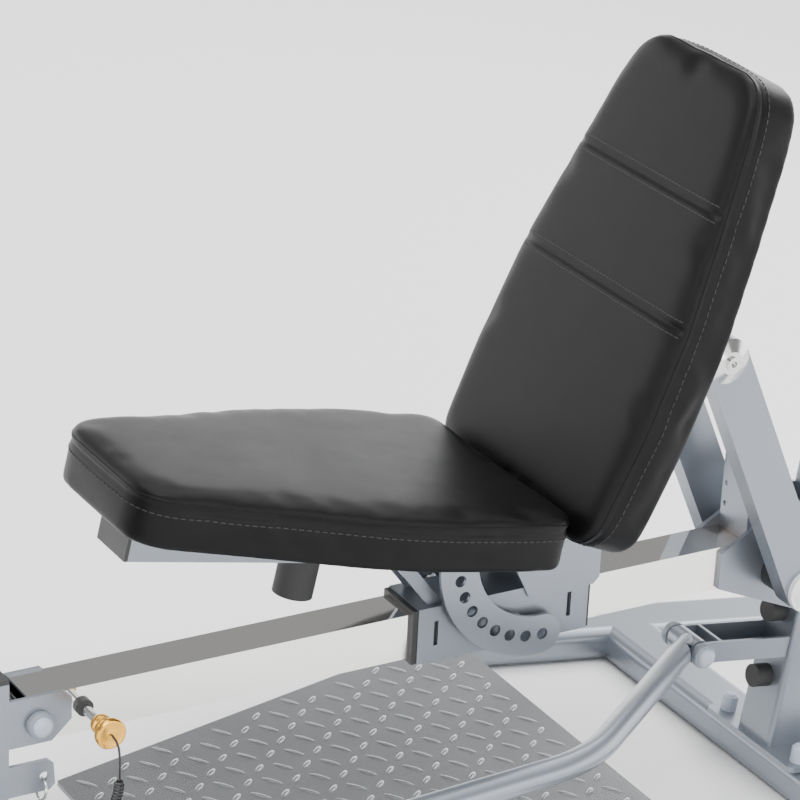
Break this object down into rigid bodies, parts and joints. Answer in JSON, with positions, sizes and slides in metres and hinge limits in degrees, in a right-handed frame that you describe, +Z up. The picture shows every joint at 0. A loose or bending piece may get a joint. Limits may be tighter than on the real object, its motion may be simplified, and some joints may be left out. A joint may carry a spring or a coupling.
{
  "type": "leg press machine",
  "caption": "Leg press machine: padded seat and reclining backrest on a carriage that slides on an inclined square rail, held by two struts, with side lever, tread plate and foot plate.",
  "frame": {"origin": "on the floor under the middle of the rear cross tube", "axes": "+X towards the machine's rear, +Z up, the user faces -X"},
  "size_m": [1.6517, 0.772, 0.8381],
  "materials": {
    "silver_paint": "satin",
    "chrome": "polished",
    "vinyl": "satin",
    "rubber": "matte",
    "black_plastic": "matte",
    "grey_plastic": "satin",
    "white_plastic": "gloss",
    "bright_steel": "satin",
    "gold_anodised": "satin",
    "grey_gloss": "gloss"
  },
  "bodies": {
    "frame": {"rear_cross_tube": "silver_paint", "front_cross_tube": "silver_paint", "side_tubes_front": "silver_paint", "side_tubes_rear": "silver_paint", "tread_plate": "grey_gloss", "tread_bearers": "silver_paint", "rail": "chrome", "front_post": "silver_paint", "rail_gussets": "silver_paint", "foot_boom": "silver_paint", "foot_upright": "silver_paint", "foot_plate": "grey_gloss", "foot_plate_ribs": "silver_paint", "column": "silver_paint", "tube_end_caps": "black_plastic", "column_flange": "silver_paint", "flange_bolts": "grey_plastic", "rail_end_plate": "silver_paint", "head_cheeks": "silver_paint", "column_bumpers": "rubber", "lever_bracket": "silver_paint", "through_bolts": "bright_steel", "bolt_caps": "grey_plastic", "stop_pin_bush": "black_plastic", "clip_bracket": "silver_paint", "clip_ring": "bright_steel"},
    "carriage": {"carriage_sleeve": "silver_paint", "carriage_liners": "black_plastic", "carriage_plates": "silver_paint", "quadrant_left": "silver_paint", "quadrant_right": "silver_paint", "quadrant_spacers": "silver_paint", "seat_channel": "silver_paint", "seat_channel_cap": "black_plastic", "pivot_shaft": "bright_steel", "seat_braces": "silver_paint", "seat_buffer": "rubber", "seat_pad": "vinyl"},
    "backrest": {"back_pad": "vinyl", "back_tube": "silver_paint", "back_cross_bar": "silver_paint", "back_brackets": "silver_paint", "hinge_arm_left": "silver_paint", "hinge_arm_right": "silver_paint"},
    "struts": {"strut_left": "silver_paint", "strut_right": "silver_paint", "strut_shaft": "bright_steel", "strut_top_shaft": "bright_steel", "strut_bushes": "black_plastic", "strut_lower_caps": "white_plastic", "strut_top_washers": "chrome"},
    "side_lever_body": {"side_lever": "silver_paint", "lever_grip": "rubber"},
    "stop_pin_body": {"stop_pin": "bright_steel", "stop_knob": "gold_anodised", "lanyard_cord": "black_plastic", "lanyard_coil": "black_plastic"},
    "lock_pin_body": {"lock_pin": "bright_steel", "lock_knob": "black_plastic"}
  },
  "joints": [
    {"name": "carriage_slide", "type": "slide", "parent": "frame", "child": "carriage", "axis": [0.989, 0, 0.1478], "range_m": [-0.05, 0.035]},
    {"name": "backrest_hinge", "type": "hinge", "parent": "carriage", "child": "backrest", "pos_m": [-0.4116, 0, 0.31531], "axis": [0, 1, 0], "range_deg": [-4, 5.5]},
    {"name": "strut_hinge", "type": "hinge", "parent": "frame", "child": "struts", "pos_m": [-0.0877, 0, 0.26564], "axis": [0, 1, 0], "range_deg": [-8, 5.5]},
    {"name": "lever_hinge", "type": "hinge", "parent": "frame", "child": "side_lever_body", "pos_m": [-0.161, 0, 0.166], "axis": [0, 1, 0], "range_deg": [0, 25]},
    {"name": "stop_pin_slide", "type": "slide", "parent": "frame", "child": "stop_pin_body", "axis": [0, -1, 0], "range_m": [0, 0.012], "stiffness_N_per_m": 400},
    {"name": "lock_pin_slide", "type": "slide", "parent": "backrest", "child": "lock_pin_body", "axis": [0, 1, 0], "range_m": [0, 0.008], "stiffness_N_per_m": 400}
  ],
  "couplings": [
    {"joint": "backrest_hinge", "follows": "carriage_slide", "rad_per_m": -1.72},
    {"joint": "strut_hinge", "follows": "carriage_slide", "rad_per_m": 2.4}
  ]
}
